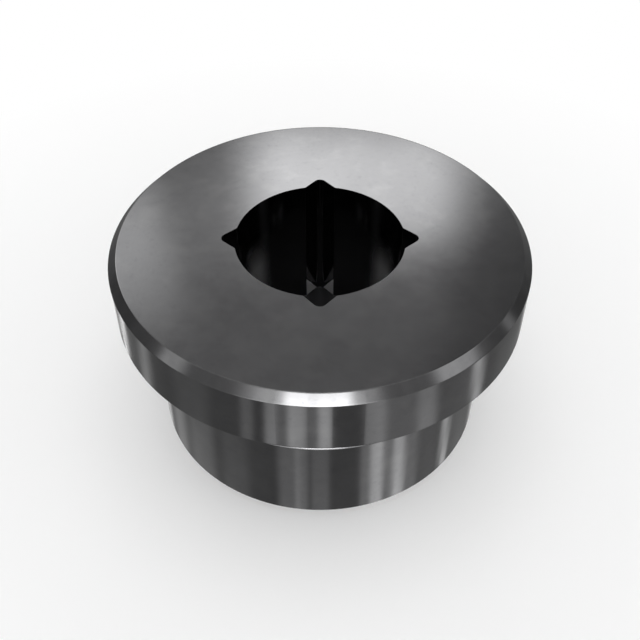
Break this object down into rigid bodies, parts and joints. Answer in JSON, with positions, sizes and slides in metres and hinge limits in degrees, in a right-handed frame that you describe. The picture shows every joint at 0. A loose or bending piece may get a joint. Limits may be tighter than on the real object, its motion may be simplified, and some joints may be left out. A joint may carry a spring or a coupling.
{
  "type": "magnetic plug",
  "caption": "Turned steel screw plug with a collar head, a relief groove, a notched drive socket and a disc magnet in its lower end.",
  "frame": {"origin": "centre of the lower end, which holds the magnet and which the plug stands on", "axes": "+Z along the plug's axis from the lower end to the head's top face, +X and +Y through the tips of two neighbouring socket notches"},
  "size_m": [0.032, 0.032, 0.018],
  "materials": {
    "dark_steel": "fine turned, blackened and lightly oiled",
    "magnet_plating": "satin nickel plate over a sintered magnet"
  },
  "bodies": {
    "root": {"plug_body": "dark_steel", "magnet": "magnet_plating"}
  },
  "joints": []
}
